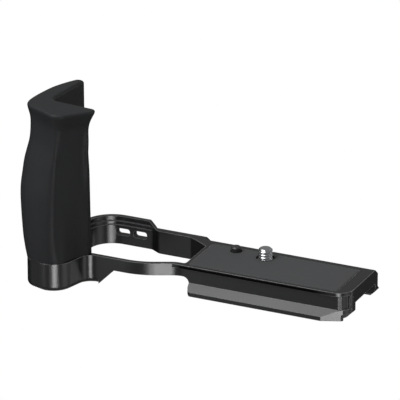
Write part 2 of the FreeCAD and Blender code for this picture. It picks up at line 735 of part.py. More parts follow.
# The grip's outline seen from above, from the tip of its side arm round the left and the front to the
# inner corner and back: on the foot, and at the top, with the share of the palm's swell at that place
GRIP_FOOT = [(-84.0, -6.0), (-85.6, -3.7), (-87.6, -4.3), (-90.3, -11.0), (-92.6, -19.0), (-94.1, -27.0),
             (-94.8, -35.0), (-94.3, -40.8), (-92.0, -43.7), (-88.5, -45.4), (-84.3, -46.2), (-80.3, -45.6),
             (-77.6, -44.3), (-76.2, -42.2), (-74.9, -38.5), (-73.0, -33.0), (-70.6, -28.8), (-70.0, -25.0),
             (-73.5, -20.0), (-77.0, -15.0), (-80.5, -10.0)]
GRIP_TOP = [(-83.4, -6.8), (-85.2, -4.5), (-87.4, -5.1), (-90.9, -11.0), (-93.4, -17.5), (-94.8, -26.5),
            (-95.3, -34.3), (-94.3, -39.4), (-91.5, -41.9), (-87.0, -44.2), (-82.3, -46.8), (-78.3, -49.1),
            (-75.2, -49.1), (-71.8, -47.1), (-68.0, -43.3), (-64.9, -40.2), (-62.9, -37.2), (-64.5, -33.0),
            (-69.0, -26.5), (-74.0, -20.0), (-79.0, -13.0)]
GRIP_SWELL = [0, 0, 0.3, 0.7, 0.9, 1, 1, 1, 1, 0.9, 0.6, 0.3, 0.1, 0, 0, 0, 0, 0, 0, 0, 0]

# The share of the top's lip at that place
GRIP_BRIM = [0, 0, 0.1, 0.4, 0.7, 0.9, 1, 1, 1, 1, 1, 1, 1, 1, 1, 1, 1, 0.9, 0.6, 0.3, 0]

# The heights of the sections, as shares of the grip's height
GRIP_STATIONS = [0, 0.05, 0.12, 0.2, 0.29, 0.38, 0.47, 0.56, 0.65, 0.73, 0.8, 0.86, 0.91, 0.95, 0.98, 1]

# How far the side leans in below the top's lip, and how far the palm swells out, by height
GRIP_LIP = [(0, 0), (10, -0.3), (23, -0.9), (41, -1.9), (55, -2.5), (61, -2.8), (64, -2.6), (67, -1.2),
            (69.3, -0.2), (70.6, 0)]
GRIP_BELLY = [(0, 0), (3, 0.9), (10, 2.2), (19, 3.3), (29, 4.3), (34, 4.4), (45, 3.4), (54.5, 1.2),
              (60, 1.1), (63, 1.1), (66, 0.5), (70.6, 0)]


def along(curve, height):
    """A value between the named heights of a curve."""
    for (low, first), (top, last) in zip(curve, curve[1:]):
        if height <= top:
            return first + (last - first) * (height - low) / (top - low)
    return curve[-1][1]


def section_point(corner, share, high):
    """One point of the grip's section at a share of its height."""
    level = share * GRIP_LIP[-1][0]
    count = len(GRIP_FOOT)
    place = [GRIP_FOOT[corner][i] * (1 - share) + GRIP_TOP[corner][i] * share for i in (0, 1)]
    before, after = (corner - 1) % count, (corner + 1) % count
    run = [(GRIP_FOOT[after][i] - GRIP_FOOT[before][i]) * (1 - share)
           + (GRIP_TOP[after][i] - GRIP_TOP[before][i]) * share for i in (0, 1)]
    reach = math.hypot(*run)
    out = along(GRIP_LIP, level) * GRIP_BRIM[corner] + along(GRIP_BELLY, level) * GRIP_SWELL[corner]
    return Vector(place[0] + out * run[1] / reach, place[1] - out * run[0] / reach, share * high)


def notch(doc):
    """The room for the camera's body: upright beside it, and leaning forward in front of it."""
    lean, high = size(doc, "notch_lean"), size(doc, "notch_lean_high")
    top = size(doc, "grip_high") + 1
    far = 60
    side = [Vector(0, lean, -1), Vector(0, lean, 0), Vector(0, 0, high), Vector(0, 0, top),
            Vector(0, far, top), Vector(0, far, -1)]
    room = Part.Face(Part.makePolygon(side + side[:1])).extrude(Vector(far, 0, 0))
    inner = [edge for edge in room.Edges if all(abs(vertex.X) < 0.001 for vertex in edge.Vertexes)
             and all(vertex.Y < lean + 0.001 for vertex in edge.Vertexes)
             and abs(edge.Vertexes[0].Z - edge.Vertexes[-1].Z) > 0.5]
    room = room.makeFillet(size(doc, "notch_round"), inner)
    room.Placement = Placement(Vector(size(doc, "notch_x"), size(doc, "notch_y"), 0),
                               Rotation(Vector(0, 0, 1), size(doc, "notch_turn")))
    return room


# The key under the plate


def key_corners(gap):
    """The L of the hex key, wider by a gap all round."""
    left, far = "key_left", "key_far"
    return [("%s - %s" % (left, gap), "key_far + " + gap, "key_bend"),
            ("%s - %s" % (left, gap), "key_far - key_short - " + gap),
            ("%s + key_flats + %s" % (left, gap), "key_far - key_short - " + gap),
            ("%s + key_flats + %s" % (left, gap), "key_far - key_flats - " + gap),
            ("%s + key_long + %s" % (left, gap), "key_far - key_flats - " + gap),
            ("%s + key_long + %s" % (left, gap), "key_far + " + gap)]


def magnet_centre(number):
    """Where one of the key's magnets sits, over the middle of its long arm."""
    return ("magnet_first + %d * magnet_pitch" % number, "key_far - key_flats / 2")


def hex_key(doc):
    """The short key for the camera screw."""
    body = new_body(doc, "hex_key")
    roof = "-recess_roof + key_groove_deep"
    pad(body, "key", roof + " - key_flats", roof, key_corners("0"))
    return body


def key_magnet(doc, number):
    """One of the two magnets that hold the key."""
    body = new_body(doc, "key_magnet_%d" % (number + 1))
    floor = "-recess_roof + key_groove_deep"
    rod(body, "disc", floor, floor + " + magnet_thick", magnet_centre(number), "magnet_radius")


def write_parts(doc):
    """Each piece to its own STEP file, once every object of the document is sound."""
    pieces = [item for item in doc.Objects if item.TypeId in ("PartDesign::Body", "Part::Feature")]
    for item in doc.Objects:
        if "Invalid" in item.State or "Error" in item.State:
            raise ValueError("%s is in the state %s" % (item.Label, item.State))
    for piece in pieces:
        if piece.Shape.isNull() or not piece.Shape.isValid() or len(piece.Shape.Solids) != 1:
            raise ValueError("%s has no sound shape" % piece.Label)
    os.makedirs("parts", exist_ok=True)
    for piece in pieces:
        piece.Shape.exportStep("parts/%s.step" % piece.Label)
        print("%-20s %9.1f mm3" % (piece.Label, piece.Shape.Volume))


build()
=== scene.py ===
# %% [markdown]
# # A camera plate with a side grip
#
# The object is an L: a machined plate lies under a camera, and a soft hand grip stands at its left. The
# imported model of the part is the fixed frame. Each step below adds one thing to its looks: the finishes,
# the pieces that are remade with a finer surface, then the studio.

import math

import bpy
import numpy as np
from mathutils import Matrix, Vector


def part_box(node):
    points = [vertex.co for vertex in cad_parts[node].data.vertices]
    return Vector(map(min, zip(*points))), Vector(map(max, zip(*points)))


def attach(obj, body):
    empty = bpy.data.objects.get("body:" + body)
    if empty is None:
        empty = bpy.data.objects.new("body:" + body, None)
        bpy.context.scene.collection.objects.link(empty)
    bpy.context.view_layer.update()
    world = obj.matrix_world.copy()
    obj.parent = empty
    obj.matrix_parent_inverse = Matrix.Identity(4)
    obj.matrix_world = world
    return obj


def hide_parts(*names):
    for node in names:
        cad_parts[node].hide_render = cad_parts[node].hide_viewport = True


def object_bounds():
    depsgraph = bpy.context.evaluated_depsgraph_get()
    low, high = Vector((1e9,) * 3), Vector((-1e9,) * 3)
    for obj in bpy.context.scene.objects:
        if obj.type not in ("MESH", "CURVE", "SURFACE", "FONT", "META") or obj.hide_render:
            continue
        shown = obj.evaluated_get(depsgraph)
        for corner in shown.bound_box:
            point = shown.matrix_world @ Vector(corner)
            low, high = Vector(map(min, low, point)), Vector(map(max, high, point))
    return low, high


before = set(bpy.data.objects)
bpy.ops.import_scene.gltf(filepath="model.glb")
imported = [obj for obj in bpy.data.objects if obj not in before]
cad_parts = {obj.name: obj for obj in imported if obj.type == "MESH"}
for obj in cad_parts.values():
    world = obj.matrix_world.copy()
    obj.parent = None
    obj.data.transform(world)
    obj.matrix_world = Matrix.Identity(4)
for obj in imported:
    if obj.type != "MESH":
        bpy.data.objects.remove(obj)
cad_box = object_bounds()
MM = 0.001
print("nodes:", sorted(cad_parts))

# %% [markdown]
# ## The camera
#
# The photograph was taken from the right of the front, well above the plate, through a long lens, which
# keeps the plate's long edges almost parallel. A camera could be aimed by hand. Here its three axes are
# worked out from two angles, so that the same view comes back exactly.

# %% The camera and its three axes
AZIMUTH, ELEVATION = math.radians(25.0), math.radians(22.2)
right = Vector((math.cos(AZIMUTH), math.sin(AZIMUTH), 0))
ahead = Vector((-math.sin(AZIMUTH) * math.cos(ELEVATION), math.cos(AZIMUTH) * math.cos(ELEVATION),
                -math.sin(ELEVATION)))
up = right.cross(ahead)
lens = bpy.data.cameras.new("camera")
lens.lens = 378.0
lens.sensor_width = 36.0
lens.clip_start, lens.clip_end = 0.1, 20.0
camera = bpy.data.objects.new("camera", lens)
camera.matrix_world = Matrix((right, up, -ahead)).transposed().to_4x4()
camera.location = (0.6802, -1.5255, 0.7086)
bpy.context.scene.collection.objects.link(camera)
bpy.context.scene.camera = camera
print("camera at", tuple(camera.location))

# %% [markdown]
# ## Small tools for materials
#
# A material is a tree of nodes. Most of its lines would only say which output goes into which input, so a
# few short functions say it: a value is set on a socket, an output is linked to it.

# %% Nodes that are fed
def feed(tree, value, socket):
    """A number or colour is set on a socket, and another node's output is linked to it."""
    if isinstance(value, bpy.types.NodeSocket):
        tree.links.new(value, socket)
    else:
        socket.default_value = value


def worked(tree, kind, operation, *sources):
    """A Math or Vector Math node, with its inputs fed in order."""
    node = tree.nodes.new(kind)
    node.operation = operation
    for value, socket in zip(sources, node.inputs):
        feed(tree, value, socket)
    return node


def mixed(tree, factor, first, second):
    """The first colour where the factor is 0, the second where it is 1."""
    node = tree.nodes.new("ShaderNodeMix")
    node.data_type = "RGBA"
    for value, label in ((factor, "Factor"), (first, "A"), (second, "B")):
        feed(tree, value, node.inputs[label])
    return node.outputs["Result"]


def either(tree, factor, first, second):
    """The first shader where the factor is 0, the second where it is 1."""
    node = tree.nodes.new("ShaderNodeMixShader")
    for value, socket in zip((factor, first, second), node.inputs):
        feed(tree, value, socket)
    return node.outputs["Shader"]


def group(name, inputs, outputs):
    """An empty shader node group with named sockets, and the nodes at its two ends."""
    tree = bpy.data.node_groups.new(name, "ShaderNodeTree")
    for label, default in inputs:
        socket = tree.interface.new_socket(label, in_out="INPUT", socket_type="NodeSocketFloat")
        socket.default_value = default
    for label, kind in outputs:
        tree.interface.new_socket(label, in_out="OUTPUT", socket_type="NodeSocket" + kind)
    return tree, tree.nodes.new("NodeGroupInput"), tree.nodes.new("NodeGroupOutput")


# %% [markdown]
# ## Grain
#
# Moulded rubber, anodised metal and steel all show a fine grain. It could be a picture wrapped round the
# piece. Noise in object space needs no picture and has no seams. Each shared effect is a node group of its
# own, so that every finish can take it with its own values, and a group gives out a value or a normal,
# never a shader.

# %% The grain group
def grain_group():
    """Noise at two scales: the fine one also becomes a bumped normal, the coarse one is called a cloud."""
    tree, taken, given = group("grain", [("Scale", 2500.0), ("Height", 0.01 * MM), ("Cloud", 60.0)],
                               [("Value", "Float"), ("Cloud", "Float"), ("Normal", "Vector")])
    place = tree.nodes.new("ShaderNodeTexCoord")
    bump = tree.nodes.new("ShaderNodeBump")
    for label, output in (("Scale", "Value"), ("Cloud", "Cloud")):
        noise = tree.nodes.new("ShaderNodeTexNoise")
        noise.inputs["Detail"].default_value = 3.0
        feed(tree, place.outputs["Object"], noise.inputs["Vector"])
        feed(tree, taken.outputs[label], noise.inputs["Scale"])
        feed(tree, noise.outputs["Fac"], given.inputs[output])
        if output == "Value":
            feed(tree, noise.outputs["Fac"], bump.inputs["Height"])
    feed(tree, taken.outputs["Height"], bump.inputs["Distance"])
    feed(tree, bump.outputs["Normal"], given.inputs["Normal"])
    return tree


GRAIN = grain_group()
print("group:", GRAIN.name)

# %% [markdown]
# ## Edges
#
# A machined edge is always a little rounder than the faces beside it, because the cutter leaves a small
# break there. The meshes of the frame aren't changed, so the round is made in the shading. The bevel node
# turns the normal near an edge, and where it turns, the mask marks the edge for a painted highlight.

# %% The edge group
def edge_group():
    """The mask, where the painted edge highlight goes, is one less the cosine between the face's own normal
    and the rounded one, stretched.
    """
    tree, taken, given = group("edges", [("Radius", 0.3 * MM), ("Gain", 9.0)],
                               [("Mask", "Float"), ("Normal", "Vector")])
    bevel = tree.nodes.new("ShaderNodeBevel")
    bevel.samples = 8
    face = tree.nodes.new("ShaderNodeNewGeometry")
    cosine = worked(tree, "ShaderNodeVectorMath", "DOT_PRODUCT", bevel.outputs["Normal"],
                    face.outputs["Normal"])
    turn = worked(tree, "ShaderNodeMath", "SUBTRACT", 1.0, cosine.outputs["Value"])
    gain = worked(tree, "ShaderNodeMath", "MULTIPLY", turn.outputs[0], taken.outputs["Gain"])
    gain.use_clamp = True
    feed(tree, taken.outputs["Radius"], bevel.inputs["Radius"])
    feed(tree, gain.outputs[0], given.inputs["Mask"])
    feed(tree, bevel.outputs["Normal"], given.inputs["Normal"])
    return tree


EDGES = edge_group()
print("group:", EDGES.name)

# %% [markdown]
# ## One function for every finish
#
# Metal, rubber and plastic differ in their values more than in their build. So one function makes every
# finish: its colour lies between a darker and a lighter tone, picked by the grain, and at the edges it
# goes over to a third, brighter one, which is a painted highlight. Roughness follows the cloud, and the
# normal is the mean of the bumped one and the rounded one. What is the same all over a piece is set on the
# shader's own socket.

# %% A finish from its tones
ROUGHNESS_SPREAD = 0.12


def finish(name, color, edge_highlight, roughness, metallic=0.0, grain=2500.0, height=0.01, spread=0.15, bevel=0.3,
           specular=0.5):
    """A material of three tones, the third a painted highlight at the edges. The grain's height and the
    bevel's radius are in millimetres.
    """
    material = bpy.data.materials.new(name + "_finish")
    material.use_nodes = True
    tree = material.node_tree
    shader = tree.nodes["Principled BSDF"]
    shader.inputs["Metallic"].default_value = metallic
    shader.inputs["Specular IOR Level"].default_value = specular
    surface, edge_light = tree.nodes.new("ShaderNodeGroup"), tree.nodes.new("ShaderNodeGroup")
    surface.node_tree, edge_light.node_tree = GRAIN, EDGES
    surface.inputs["Scale"].default_value = grain
    surface.inputs["Height"].default_value = height * MM
    edge_light.inputs["Radius"].default_value = bevel * MM
    tones = [mixed(tree, surface.outputs[mask], (*[c * (1 - part) for c in color], 1),
                   (*[c * (1 + part) for c in color], 1))
             for mask, part in (("Value", spread), ("Cloud", spread / 2))]
    faces = mixed(tree, 0.5, *tones)
    # the edge tone is a painted highlight, laid where the edge mask marks an edge
    feed(tree, mixed(tree, edge_light.outputs["Mask"], faces, (*edge_highlight, 1)), shader.inputs["Base Color"])
    rough = tree.nodes.new("ShaderNodeMapRange")
    rough.inputs["To Min"].default_value = roughness * (1 - ROUGHNESS_SPREAD)
    rough.inputs["To Max"].default_value = min(1.0, roughness * (1 + ROUGHNESS_SPREAD))
    feed(tree, surface.outputs["Cloud"], rough.inputs["Value"])
    feed(tree, rough.outputs["Result"], shader.inputs["Roughness"])
    both = worked(tree, "ShaderNodeVectorMath", "ADD", surface.outputs["Normal"], edge_light.outputs["Normal"])
    whole = worked(tree, "ShaderNodeVectorMath", "NORMALIZE", both.outputs["Vector"])
    feed(tree, whole.outputs["Vector"], shader.inputs["Normal"])
    return material


# %% [markdown]
# ## Anodised aluminium
#
# The frame is milled aluminium with a black anodised coat, satin rather than glossy, with a very fine
# grain. Its edges get a thin bright line, which is a painted highlight. An anodised coat is an oxide, so
# the finish isn't a metal: a metal with so dark a colour would mirror nothing.

# %% The anodised finish
# the second colour is the painted edge highlight
anodised = finish("black_anodised", (0.0150, 0.0155, 0.0160), (0.32, 0.32, 0.33), 0.33, grain=7000.0,
                  height=0.004, bevel=0.38, specular=0.6)
print("finish:", anodised.name)

# %% [markdown]
# ## The lip's front
#
# On the real plate the front of the lip curves under, so that it mirrors the dark floor and looks blacker
# than the neck below it. In the frame this face is upright. Its look could come from a black strip laid on
# it, but a strip is a piece that the plate doesn't have. Instead its darkness is painted shade: inside a
# narrow box, which fades out at its ends, the finish becomes a near-black metal that mirrors nothing.

# %% Painted shade inside a box
def paint_shade_in_box(material, ramps, shade_tone):
    """Painted shade: inside a box the finish becomes a metal of one dark tone, which mirrors nothing.

    Each ramp names an axis, the place where the box starts and the place where it is full.
    """
    tree = material.node_tree
    shader = tree.nodes["Principled BSDF"]
    place = tree.nodes.new("ShaderNodeTexCoord")
    axes = tree.nodes.new("ShaderNodeSeparateXYZ")
    feed(tree, place.outputs["Object"], axes.inputs["Vector"])
    shade_mask = 1.0
    for axis, start, full in ramps:
        ramp = tree.nodes.new("ShaderNodeMapRange")
        for value, label in ((axes.outputs[axis], "Value"), (start * MM, "From Min"),
                             (full * MM, "From Max"), (shade_mask, "To Max")):
            feed(tree, value, ramp.inputs[label])
        shade_mask = ramp.outputs["Result"]
    plain = shader.inputs["Base Color"].links[0].from_socket
    # painted shade: inside the box the base colour goes to the dark tone and the metallic goes to 1
    feed(tree, mixed(tree, shade_mask, plain, (shade_tone, shade_tone, shade_tone, 1)), shader.inputs["Base Color"])
    feed(tree, shade_mask, shader.inputs["Metallic"])


# the box of painted shade on the lip's front, in millimetres
LIP_FRONT_SHADE = [("Z", -1.75, -1.6), ("Z", -0.3, -0.55), ("Y", -21.7, -21.9), ("X", -33.0, -30.0),
             ("X", 43.0, 33.0)]
paint_shade_in_box(anodised, LIP_FRONT_SHADE, 0.006)
print("the lip's front: %d ramps" % len(LIP_FRONT_SHADE))

# %% [markdown]
# ## Silicone, rubber and plastic
#
# The grip is matt black silicone with a soft moulded grain. It mirrors less than the frame and spreads
# what it mirrors more widely. The pad under the camera is a greyer rubber, duller still. The core inside
# the grip is plain moulded plastic, which shows only when the grip is taken off.

# %% The soft finishes
silicone = finish("black_silicone", (0.0270, 0.0282, 0.0300), (0.085, 0.087, 0.09), 0.5, grain=3200.0,
                  height=0.012, bevel=0.4, specular=0.25)
pad_rubber = finish("pad_rubber", (0.082, 0.084, 0.086), (0.095, 0.095, 0.095), 0.75, grain=4500.0,
                    height=0.012, bevel=0.2, specular=0.35)
core_plastic = finish("core_plastic", (0.03, 0.03, 0.03), (0.04, 0.04, 0.04), 0.5)
print("finishes:", silicone.name, pad_rubber.name, core_plastic.name)

# %% [markdown]
# ## Steel, brass and nickel
#
# The camera screw is bright turned steel, the one shiny piece. The pin and the grip's screws are
# blackened steel. The clip is bare spring steel, the key is dark tool steel, the inserts are brass and the
# magnets have a nickel coat. Bare metals take their colour from what they mirror, so they are made
# metallic and their tones vary less.

# %% The metal finishes
bright = finish("bright_steel", (0.56, 0.57, 0.58), (0.75, 0.75, 0.75), 0.16, metallic=1.0, grain=1500.0,
                height=0.002, spread=0.06, bevel=0.1)
black_steel = finish("black_steel", (0.030, 0.030, 0.031), (0.20, 0.20, 0.20), 0.32, bevel=0.2)
spring_steel = finish("spring_steel", (0.3, 0.3, 0.31), (0.4, 0.4, 0.4), 0.35, metallic=1.0, bevel=0.1)
tool_steel = finish("tool_steel", (0.06, 0.06, 0.062), (0.16, 0.16, 0.16), 0.38, metallic=1.0, bevel=0.15)
brass = finish("brass", (0.6, 0.42, 0.16), (0.7, 0.52, 0.24), 0.3, metallic=1.0, bevel=0.1)
nickel = finish("magnet_nickel", (0.6, 0.57, 0.52), (0.7, 0.68, 0.64), 0.2, metallic=1.0, bevel=0.1)
print("finishes:", bright.name, black_steel.name, spring_steel.name, tool_steel.name, brass.name, nickel.name)

# %% [markdown]
# ## Every piece of the frame gets its finish
#
# Also the hidden pieces get theirs, because they show when the key or the screw moves out, or when
# somebody takes the part to pieces.

# %% Which piece has which finish
FINISHES = {
    "base_frame": anodised, "silicone_grip": silicone, "rubber_pad": pad_rubber, "camera_screw": bright,
    "screw_clip": spring_steel, "locating_pin": black_steel, "grip_screw_left": black_steel,
    "grip_screw_right": black_steel, "core_insert_left": brass, "core_insert_right": brass,
    "grip_core": core_plastic, "hex_key": tool_steel, "key_magnet_1": nickel, "key_magnet_2": nickel,
}
for name, material in FINISHES.items():
    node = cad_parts[name]
    node.data.materials.clear()
    node.data.materials.append(material)
print("pieces with a finish:", len(FINISHES))

# %% [markdown]
# ## Small tools for surfaces
#
# Every new piece is a stack of closed loops. A loop is an array of points, a stack is an array of loops,
# and neighbouring loops are joined by quads. The first and the last loop are closed by one face each.

# %% Loops
def softened(corners, reach, steps=8):
    """Each corner b becomes the curve (1-t)^2 p + 2t(1-t) b + t^2 q, with p and q on its two sides."""
    before, after = np.roll(corners, 1, axis=-2), np.roll(corners, -1, axis=-2)
    back, forth = before - corners, after - corners
    far = [np.linalg.norm(side, axis=-1, keepdims=True) for side in (back, forth)]
    reach = np.asarray(reach, dtype=float)[:, None]
    first = corners + back / far[0] * np.minimum(reach, far[0] / 2)
    last = corners + forth / far[1] * np.minimum(reach, far[1] / 2)
    t = np.linspace(0, 1, steps)[:, None]
    curve = ((1 - t) ** 2 * first[..., None, :] + 2 * t * (1 - t) * corners[..., None, :]
             + t ** 2 * last[..., None, :])
    return curve.reshape(*corners.shape[:-2], -1, 2)


def outward(loops):
    """The unit normal at each point of loops that run counterclockwise: the tangent, turned right."""
    run = np.roll(loops, -1, axis=-2) - np.roll(loops, 1, axis=-2)
    normal = np.stack([run[..., 1], -run[..., 0]], axis=-1)
    return normal / np.maximum(np.linalg.norm(normal, axis=-1, keepdims=True), 1e-12)


def drawn_in(corners, inset):
    """Corners moved in so that every side moves in by the inset: (m + n) / (1 + m.n) for sides m and n."""
    run = np.roll(corners, -1, axis=-2) - corners
    after = np.stack([run[..., 1], -run[..., 0]], axis=-1) / np.linalg.norm(run, axis=-1, keepdims=True)
    before = np.roll(after, 1, axis=-2)
    share = 1 + np.sum(before * after, axis=-1, keepdims=True)
    return corners - (before + after) / share * np.reshape(inset, (-1, 1, 1))


def circle(centre, radius, count=48):
    """The points centre + radius (cos a, sin a), with a running round once."""
    angle = np.linspace(0, 2 * math.pi, count, endpoint=False)
    return np.asarray(centre) + radius * np.stack([np.cos(angle), np.sin(angle)], axis=-1)


def stack(loops, heights):
    """Flat loops, each lifted to its own height."""
    z = np.broadcast_to(np.asarray(heights, dtype=float)[:, None, None], loops.shape[:-1] + (1,))
    return np.concatenate([loops, z], axis=-1)


# %% Faces
def quads(rows, columns, start=0):
    """The faces between neighbouring closed loops: (r, c), (r, c+1), (r+1, c+1), (r+1, c)."""
    index = start + np.arange(rows * columns).reshape(rows, columns)
    turned = np.roll(index, -1, axis=1)
    return np.stack([index[:-1], turned[:-1], turned[1:], index[1:]], axis=-1).reshape(-1, 4).tolist()


def closed(rows, columns):
    """The faces of a whole stack: its sides, and one face over each end."""
    ends = [list(range(columns))[::-1], [(rows - 1) * columns + i for i in range(columns)]]
    return quads(rows, columns) + ends


# %% Pieces
SHARP = math.radians(38)


def piece(name, points, faces, material, body, node):
    """A mesh object with one finish that rides on a body and replaces a node of the frame."""
    mesh = bpy.data.meshes.new(name)
    mesh.from_pydata(np.asarray(points).reshape(-1, 3).tolist(), [], faces)
    mesh.materials.append(material)
    mesh.validate()
    mesh.shade_smooth()
    mesh.set_sharp_from_angle(angle=SHARP)
    thing = bpy.data.objects.new(name, mesh)
    bpy.context.scene.collection.objects.link(thing)
    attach(thing, body)
    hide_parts(node)
    print("%s: %d points, %d faces" % (name, len(mesh.vertices), len(mesh.polygons)))
    return thing


def lofted(name, loops, material, body, node):
    """A closed piece from a stack of loops, bottom first."""
    return piece(name, loops, closed(*loops.shape[:2]), material, body, node)


# %% [markdown]
# ## The silicone grip
#
# The real grip is one soft moulding: an L seen from above, full where the palm lies, waisted under a lip
# at the top, with an upright notch for the camera's corner. It could be sculpted, but its section changes
# steadily all the way up, so it is a loft. Sixteen corners slide from their places on the foot to their
# places at the top, and two more make the notch. Every section's corners are softened into one loop.

# %% The corners
# In each row: x and y on the foot, x and y at the top, reach of the round, share of palm and of waist.
GRIP = np.array([
    (-83.9, -4.3, -83.8, -5.0, 1.1, 0, 0), (-87.6, -3.7, -87.6, -4.6, 1.7, 0, 0),
    (-90.3, -11.0, -90.9, -11.0, 9, 0.5, 0.3), (-92.6, -19.0, -93.4, -17.5, 9, 0.9, 0.7),
    (-94.1, -27.0, -94.9, -26.5, 9, 1, 0.9), (-95.0, -35.0, -95.6, -34.3, 9, 1, 1),
    (-94.6, -41.1, -94.7, -39.6, 9, 1, 1), (-92.2, -44.1, -91.6, -42.2, 9, 1, 1),
    (-88.5, -45.7, -87.0, -44.3, 9, 0.9, 1), (-84.3, -46.5, -82.3, -46.9, 9, 0.6, 1),
    (-80.3, -46.0, -77.8, -49.5, 9, 0.3, 1), (-77.4, -44.7, -73.4, -48.6, 9, 0.1, 1),
    (-76.0, -42.5, -70.3, -45.9, 9, 0, 1), (-74.9, -38.5, -67.5, -42.9, 9, 0, 1),
    (-73.0, -33.0, -64.7, -40.2, 9, 0, 1), (-70.3, -28.6, -62.5, -36.9, 1.6, 0, 1),
])
FOOT, TOP = GRIP[:, 0:2], GRIP[:, 2:4]
REACH, PALM_SHARE, WAIST_SHARE = GRIP[:, 4:].T
print("corners:", len(GRIP))

# %% [markdown]
# ## What the hand shapes
#
# The palm needs a swell halfway up, and the fingers need a waist below the lip, so that the hand can't
# slip off the top. Both are a push along the section's normal that depends on the height alone. On the
# front, a soft crease parts the palm's side from the fingers' side. Four corners beside it are moved a
# little, which turns the two faces apart without a sharp line.

# %% Swell, waist and crease, in millimetres over the height
PALM = [(0, 0), (3, 0.9), (10, 2.2), (19, 3.3), (29, 4.3), (34, 4.4), (45, 3.4), (54.5, 1.2), (60, 1.1),
        (63, 1.1), (66, 0.5), (70.6, 0)]
WAIST = [(0, 0), (10, -0.3), (23, -0.9), (41, -1.9), (55, -2.5), (61, -2.8), (64, -2.6), (67, -1.2),
         (69.3, -0.2), (70.6, 0)]
CREASE = np.array([(0.45, -0.25), (-0.25, 0.8), (-0.2, 0.9), (-0.05, 0.5)])
CREASE_CORNERS = slice(10, 14)
CREASE_SHARE = [(0, 0), (14, 1), (46, 1), (62, 0.3), (67, 0)]


def eased(curve, height):
    """A smooth run through the named heights: the broken line between them, averaged over 4 mm."""
    level, value = np.array(curve).T
    spread = np.linspace(-2, 2, 9)
    return np.mean([np.interp(height + shift, level, value) for shift in spread], axis=0)


print("palm at 30 mm: %.2f, waist at 60 mm: %.2f" % (eased(PALM, 30), eased(WAIST, 60)))

# %% [markdown]
# ## The notch
#
# The camera's corner stands in the notch, so both of its walls are flat across. Towards the foot the
# notch's own corner leans back. The front wall ends in a thin tip, which is drawn in at the waist and
# flares out at the lip. Its run is a curve of its own: how far the tip lies from the notch's corner.

# %% The notch's corner, its lean, and the tip
NOTCH, NOTCH_TURN, NOTCH_ROUND = np.array((-86.5, -32.0)), math.radians(-5.7), 5.0
NOTCH_LEAN, NOTCH_LEAN_HIGH = 7.8, 50.0
TIP = [(0, 15.2), (22.7, 17.0), (41, 18.5), (55.8, 19.1), (60.8, 18.9), (64.2, 19.6), (66.6, 20.8),
       (69, 22.1), (70.6, 23.0)]
# The tip's outer corner lies this deep before it and this far along, at the foot and more at the top.
TIP_REACH, TIP_DEEP, TIP_SLANT, TIP_SLANT_MORE = 1.3, 2.8, 0.3, 0.8


def grip_corners(height, high):
    """The section's corners at each height: foot to top in a straight line, pushed out along the normal."""
    share = height / high
    outer = FOOT * (1 - share[:, None, None]) + TOP * share[:, None, None]
    outer[:, CREASE_CORNERS] += eased(CREASE_SHARE, height)[:, None, None] * CREASE
    push = eased(PALM, height)[:, None] * PALM_SHARE + eased(WAIST, height)[:, None] * WAIST_SHARE
    outer = outer + outward(outer) * push[..., None]
    along = np.array((math.cos(NOTCH_TURN), math.sin(NOTCH_TURN)))
    across = np.array((-along[1], along[0]))
    lean = NOTCH_LEAN * (1 - np.clip(height / NOTCH_LEAN_HIGH, 0, 1))
    vertex = NOTCH + lean[:, None] * across
    tip = vertex + eased(TIP, height)[:, None] * along
    slant = TIP_SLANT + TIP_SLANT_MORE * share
    outer[:, -1] = tip + np.stack([slant, np.full(height.shape, -TIP_DEEP)], axis=-1)
    return np.concatenate([outer, tip[:, None], vertex[:, None]], axis=1)


# %% The grip itself
TOP_ROUND, SEAM_ROUND, RINGS = 1.4, 0.5, 56


def grip_skin():
    """Sections up the grip, with a small round at the foot's seam and a larger one at the top."""
    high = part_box("silicone_grip")[1][2] / MM
    turn = np.radians(np.linspace(0, 90, 7))
    height = np.concatenate([SEAM_ROUND * (1 - np.cos(turn)), np.linspace(1.2, high - TOP_ROUND - 0.3, RINGS),
                             high - TOP_ROUND * (1 - np.sin(turn)), [high]])
    inset = np.concatenate([SEAM_ROUND * (1 - np.sin(turn)), np.zeros(RINGS),
                            TOP_ROUND * (1 - np.cos(turn)), [TOP_ROUND + 0.1]])
    loops = softened(drawn_in(grip_corners(height, high), inset), np.append(REACH, [TIP_REACH, NOTCH_ROUND]))
    return lofted("grip_skin", stack(loops, height) * MM, silicone, "plate", "silicone_grip")


grip_skin()

# %% [markdown]
# ## The rubber pad
#
# A sheet of rubber, a millimetre thick, lies in a shallow seat. It could be a plain slab, but moulded
# rubber has no sharp edges, so its outline and both of its holes get a small round. The flat top is two
# faces that meet on a line through both holes, because one face can't hold a hole.

# %% Sizes of the pad, in millimetres
PAD_EDGE, PAD_SPREAD, PAD_CORNER = 0.22, 0.18, 1.5
PIN_HOLE, SCREW_HOLE = 2.5, 4.0
# A corner that lies in a straight side, where the two flat faces meet, is hardly softened.
STRAIGHT = 0.001


# %% The pad
def pad_walls(low, high, pin):
    """The outline and the two holes, each as loops drawn in step by step, and the height of each step."""
    corners = np.array([(high[0], 0.0), (high[0], high[1]), (low[0], high[1]), (low[0], pin[1]),
                        (low[0], low[1]), (high[0], low[1])])
    outline = softened(corners, [STRAIGHT, PAD_CORNER, PAD_CORNER, STRAIGHT, PAD_CORNER, PAD_CORNER])
    turn = np.radians(np.linspace(0, 90, 5))
    height = np.concatenate([[low[2]], high[2] - PAD_EDGE + PAD_EDGE * np.sin(turn), [high[2]]])
    inset = np.concatenate([[0.0], PAD_EDGE * (1 - np.cos(turn)), [PAD_EDGE + 0.1]])
    loops = ((outline, 1), (circle(pin[:2], PIN_HOLE), -1), (circle((0.0, 0.0), SCREW_HOLE), -1))
    walls = [np.stack([loop - side * outward(loop) * value for value in inset]) for loop, side in loops]
    return walls, height


